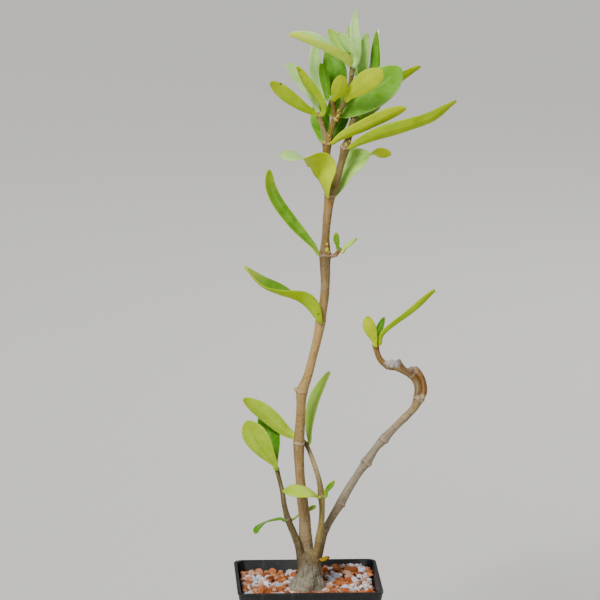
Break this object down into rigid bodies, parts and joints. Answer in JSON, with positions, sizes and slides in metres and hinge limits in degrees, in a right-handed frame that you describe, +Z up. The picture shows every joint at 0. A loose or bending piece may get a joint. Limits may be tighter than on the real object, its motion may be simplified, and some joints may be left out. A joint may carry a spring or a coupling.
{
  "type": "potted ant plant",
  "caption": "Woody-based succulent shrub with upright and bent stems of leathery leaves, growing in coarse grit in a square black nursery pot.",
  "frame": {"origin": "centre of the flat underside of the pot's floor", "axes": "+Z up along the plant, +X to the right and -Y towards the viewer in the front view; the pot's sides lie along X and Y"},
  "size_m": [0.1209, 0.08, 0.3914],
  "materials": {
    "black_plastic": "semi-gloss black polypropylene",
    "grit": "orange fired clay grains and white pumice grains",
    "caudex_bark": "grey-green woody bark with pale streaks",
    "tan_bark": "tan stem bark with leaf scars",
    "grey_bark": "grey-beige stem bark with pores",
    "leaf_green": "leathery leaf that shows its green, slightly waxy upper face",
    "leaf_yellow": "leathery leaf that shows its yellow-green underside"
  },
  "bodies": {
    "root": {"bud_middle": "leaf_yellow", "caudex": "caudex_bark", "grit": "grit", "leaf_arching": "leaf_yellow", "leaf_behind_broad": "leaf_yellow", "leaf_broad": "leaf_green", "leaf_crown_back": "leaf_green", "leaf_crown_front": "leaf_yellow", "leaf_crown_lobe": "leaf_green", "leaf_crown_top": "leaf_green", "leaf_far_left": "leaf_yellow", "leaf_fork_left": "leaf_yellow", "leaf_fork_right": "leaf_green", "leaf_front_oval": "leaf_yellow", "leaf_front_right": "leaf_yellow", "leaf_hook_long": "leaf_yellow", "leaf_hook_oval": "leaf_yellow", "leaf_hook_small": "leaf_green", "leaf_inner_dark": "leaf_green", "leaf_inner_green": "leaf_green", "leaf_inner_small": "leaf_green", "leaf_left_back": "leaf_green", "leaf_left_front": "leaf_yellow", "leaf_left_mint": "leaf_green", "leaf_left_rolled": "leaf_yellow", "leaf_long_right": "leaf_yellow", "leaf_low_yellow": "leaf_green", "leaf_middle_front": "leaf_green", "leaf_middle_left": "leaf_yellow", "leaf_middle_right": "leaf_green", "leaf_middle_small": "leaf_green", "leaf_rear_fork": "leaf_green", "leaf_rear_right": "leaf_green", "leaf_rear_upright": "leaf_green", "leaf_right_folded": "leaf_green", "leaf_right_small": "leaf_green", "leaf_right_upright": "leaf_green", "leaf_rising": "leaf_green", "leaf_second_right": "leaf_yellow", "leaf_shoot_side": "leaf_green", "leaf_shoot_up": "leaf_green", "leaf_tall_left": "leaf_green", "leaf_twisted": "leaf_yellow", "leaf_under_left": "leaf_green", "leaf_under_right": "leaf_green", "pot": "black_plastic", "shoot_middle": "tan_bark", "sprout_back": "leaf_green", "sprout_left": "leaf_green", "stem_hooked": "grey_bark", "stem_left": "tan_bark", "stem_main": "tan_bark", "stem_middle": "tan_bark"}
  },
  "joints": []
}
